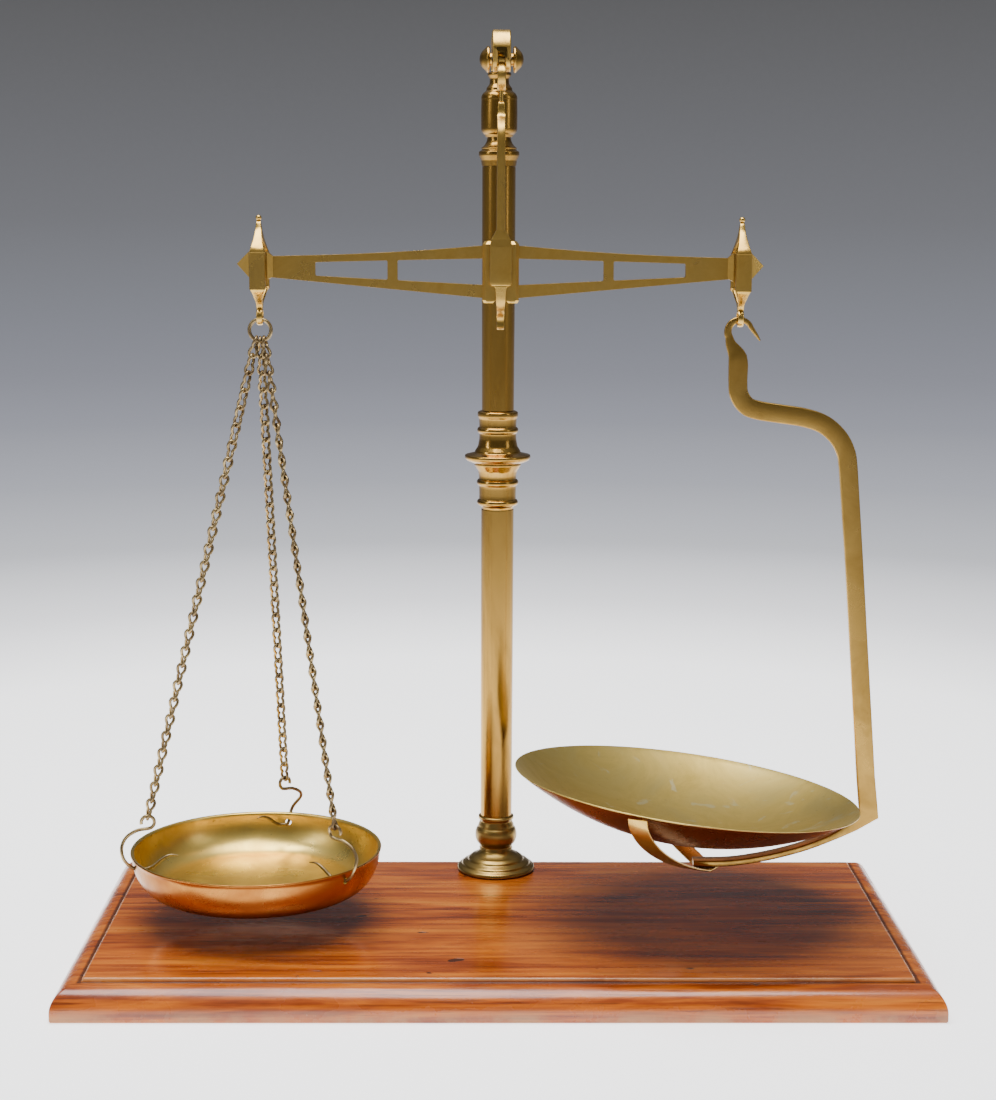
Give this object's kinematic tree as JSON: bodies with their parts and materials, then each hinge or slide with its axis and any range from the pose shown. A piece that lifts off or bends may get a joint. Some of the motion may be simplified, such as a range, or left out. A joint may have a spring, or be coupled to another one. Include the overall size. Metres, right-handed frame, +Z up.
{
  "type": "equal arm balance scale",
  "caption": "Brass beam scale on a mahogany board: a pillar with a swan neck arm hangs a pierced beam, a chained weights pan and a goods dish in a hooked carrier.",
  "frame": {"origin": "centre of the base board's underside", "axes": "+Z up along the pillar, +X along the beam towards the goods pan, +Y towards the back, where the pillar stands"},
  "size_m": [0.61, 0.3, 0.672],
  "materials": {
    "mahogany": "French polished red-brown mahogany, worn pale at the lower edges",
    "brass": "old polished brass with light tarnish",
    "dull_brass": "dull brown patinated brass wire",
    "steel": "plain steel, lightly darkened"
  },
  "bodies": {
    "stand": {"base_board": "mahogany", "column_foot": "brass", "lower_tube": "brass", "lower_collar": "brass", "flange_collar": "brass", "upper_tube": "brass", "capital": "brass", "vase_finial": "brass", "tie_rod": "steel", "tie_rod_washer": "steel", "tie_rod_nut": "steel", "swan_neck_arm": "brass", "cross_pin": "steel", "left_knob": "brass", "right_knob": "brass"},
    "hanger": {"hanger_link": "brass"},
    "shears_frame": {"shears": "brass", "swivel_nut": "brass", "shears_bearing_front": "steel", "shears_bearing_back": "steel"},
    "beam_body": {"beam": "brass", "beam_pointer": "brass", "centre_knife": "steel", "left_knife": "steel", "right_knife": "steel"},
    "left_shackle_body": {"left_shackle": "brass", "left_shackle_bearing_front": "steel", "left_shackle_bearing_back": "steel"},
    "right_shackle_body": {"right_shackle": "brass", "right_shackle_bearing_front": "steel", "right_shackle_bearing_back": "steel"},
    "weights_side": {"suspension_ring": "dull_brass", "chain_left": "dull_brass", "chain_right": "dull_brass", "chain_back": "dull_brass", "pan_hook_left": "dull_brass", "pan_hook_right": "dull_brass", "pan_hook_back": "dull_brass", "weights_pan": "brass"},
    "goods_carrier": {"carrier_arm": "brass", "cradle_strap": "brass"},
    "goods_pan_body": {"goods_pan": "brass"}
  },
  "joints": [
    {"name": "hanger_swing", "type": "hinge", "parent": "stand", "child": "hanger", "pos_m": [0, -0.012, 0.6479], "axis": [1, 0, 0], "range_deg": [-2, 2]},
    {"name": "shears_swivel", "type": "hinge", "parent": "hanger", "child": "shears_frame", "pos_m": [0, -0.012, 0.628], "axis": [0, 0, 1], "range_deg": [-4, 4]},
    {"name": "beam_rock", "type": "hinge", "parent": "shears_frame", "child": "beam_body", "pos_m": [0, -0.012, 0.5066], "axis": [0, 1, 0], "range_deg": [-6, 6]},
    {"name": "left_shackle_pivot", "type": "hinge", "parent": "beam_body", "child": "left_shackle_body", "pos_m": [-0.17, -0.012, 0.5066], "axis": [0, 1, 0], "range_deg": [-6, 6]},
    {"name": "right_shackle_pivot", "type": "hinge", "parent": "beam_body", "child": "right_shackle_body", "pos_m": [0.17, -0.012, 0.5066], "axis": [0, 1, 0], "range_deg": [-6, 6]},
    {"name": "weights_pan_swing", "type": "hinge", "parent": "left_shackle_body", "child": "weights_side", "pos_m": [-0.17, -0.012, 0.4658], "axis": [0, 1, 0], "range_deg": [-8, 8]},
    {"name": "goods_carrier_swing", "type": "hinge", "parent": "right_shackle_body", "child": "goods_carrier", "pos_m": [0.17, -0.012, 0.4658], "axis": [0, 1, 0], "range_deg": [-8, 5]},
    {"name": "goods_pan_lift", "type": "slide", "parent": "goods_carrier", "child": "goods_pan_body", "axis": [-0.2, 0, 0.9798], "range_m": [0, 0.05]}
  ],
  "couplings": [
    {"joint": "left_shackle_pivot", "follows": "beam_rock", "ratio": -1},
    {"joint": "right_shackle_pivot", "follows": "beam_rock", "ratio": -1}
  ]
}
